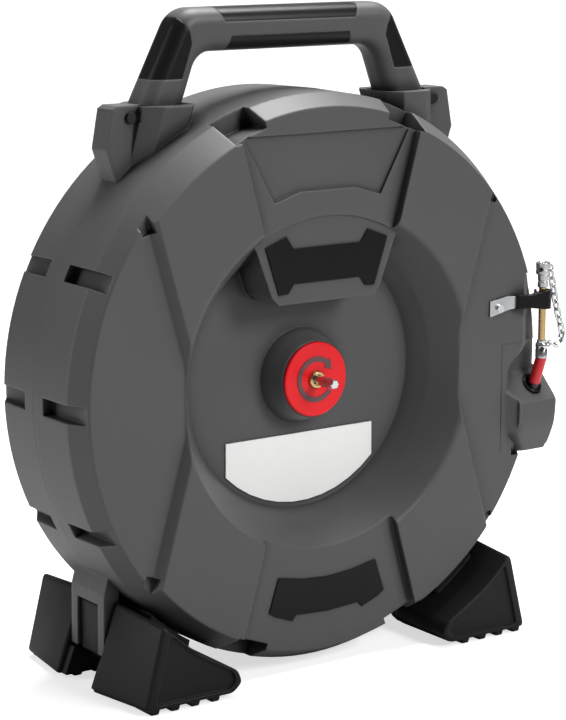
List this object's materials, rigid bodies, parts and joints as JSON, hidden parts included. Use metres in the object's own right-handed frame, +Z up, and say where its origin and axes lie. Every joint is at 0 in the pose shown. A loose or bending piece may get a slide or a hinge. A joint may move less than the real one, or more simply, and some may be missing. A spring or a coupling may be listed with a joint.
{
  "type": "drain cleaning machine",
  "caption": "Portable round-case drain snake with a drill-drive hub, a top carry handle, two broad feet and a cable outlet with a parked chain knocker.",
  "frame": {"origin": "on the floor, in the middle of the outline seen from above; the seam of the two shells is at Y = 0", "axes": "+Z up, -Y the front with the drive hub, +X the side with the cable outlet"},
  "size_m": [0.5189, 0.202, 0.575],
  "materials": {
    "case_grey": "fine-grained",
    "grip_black": "matt",
    "foot_rubber": "matt",
    "cap_red": "satin",
    "arrow_dark": "matt",
    "plate_black": "satin",
    "label_white": "satin",
    "brass": "machined",
    "steel": "machined",
    "zinc": "zinc plated",
    "black_steel": "black oxide",
    "vinyl_black": "dipped",
    "cable_red": "satin",
    "sheath_black": "satin",
    "drum_black": "moulded"
  },
  "bodies": {
    "housing": {"front_shell": "case_grey", "rear_shell": "case_grey", "handle_bar": "case_grey", "handle_pad_left": "grip_black", "handle_pad_right": "grip_black", "handle_top_inlay": "grip_black", "handle_under_grip": "grip_black", "foot_left": "foot_rubber", "foot_right": "foot_rubber", "hub_cap": "cap_red", "turn_arrow": "arrow_dark", "drive_bush": "brass", "front_bearing": "steel", "bearing_retainer": "steel", "carousel_axle": "steel", "axle_nut": "zinc", "rear_bearing": "steel", "cable_lead": "sheath_black", "outlet_grommet": "vinyl_black", "clip_bracket": "steel", "clip_sleeve": "vinyl_black", "clip_screw": "zinc", "upper_plate": "plate_black", "lower_plate": "plate_black", "floor_panel": "label_white", "shell_screws": "black_steel", "handle_screws": "black_steel", "foot_screws": "zinc"},
    "drive_shaft": {"drive_shaft": "zinc", "shaft_clip": "black_steel", "shaft_coupling": "steel", "coupling_screws": "black_steel", "cable_core": "steel"},
    "carousel": {"carousel_drum": "drum_black", "carousel_ring": "drum_black", "carousel_screws": "zinc", "cable_coil": "sheath_black", "guide_tube": "sheath_black", "guide_clips": "drum_black", "guide_screws": "zinc"},
    "cable_end": {"cable_end": "brass", "sheath_sleeve": "cable_red", "sheath_tail": "sheath_black", "lower_collar": "zinc", "upper_collar": "zinc", "collar_screws": "black_steel", "knocker_chain": "zinc"}
  },
  "joints": [
    {"name": "drive_spin", "type": "hinge", "parent": "housing", "child": "drive_shaft", "pos_m": [-0.01, 0, 0.254], "axis": [0, 1, 0], "continuous": true},
    {"name": "cable_pull", "type": "slide", "parent": "housing", "child": "cable_end", "axis": [0, 0, 1], "range_m": [0, 0.015]},
    {"name": "carousel_turn", "type": "hinge", "parent": "housing", "child": "carousel", "pos_m": [-0.01, 0, 0.254], "axis": [0, -1, 0], "range_deg": [-0.2, 4.54]}
  ],
  "couplings": [
    {"joint": "carousel_turn", "follows": "cable_pull", "rad_per_m": 5.0505}
  ]
}
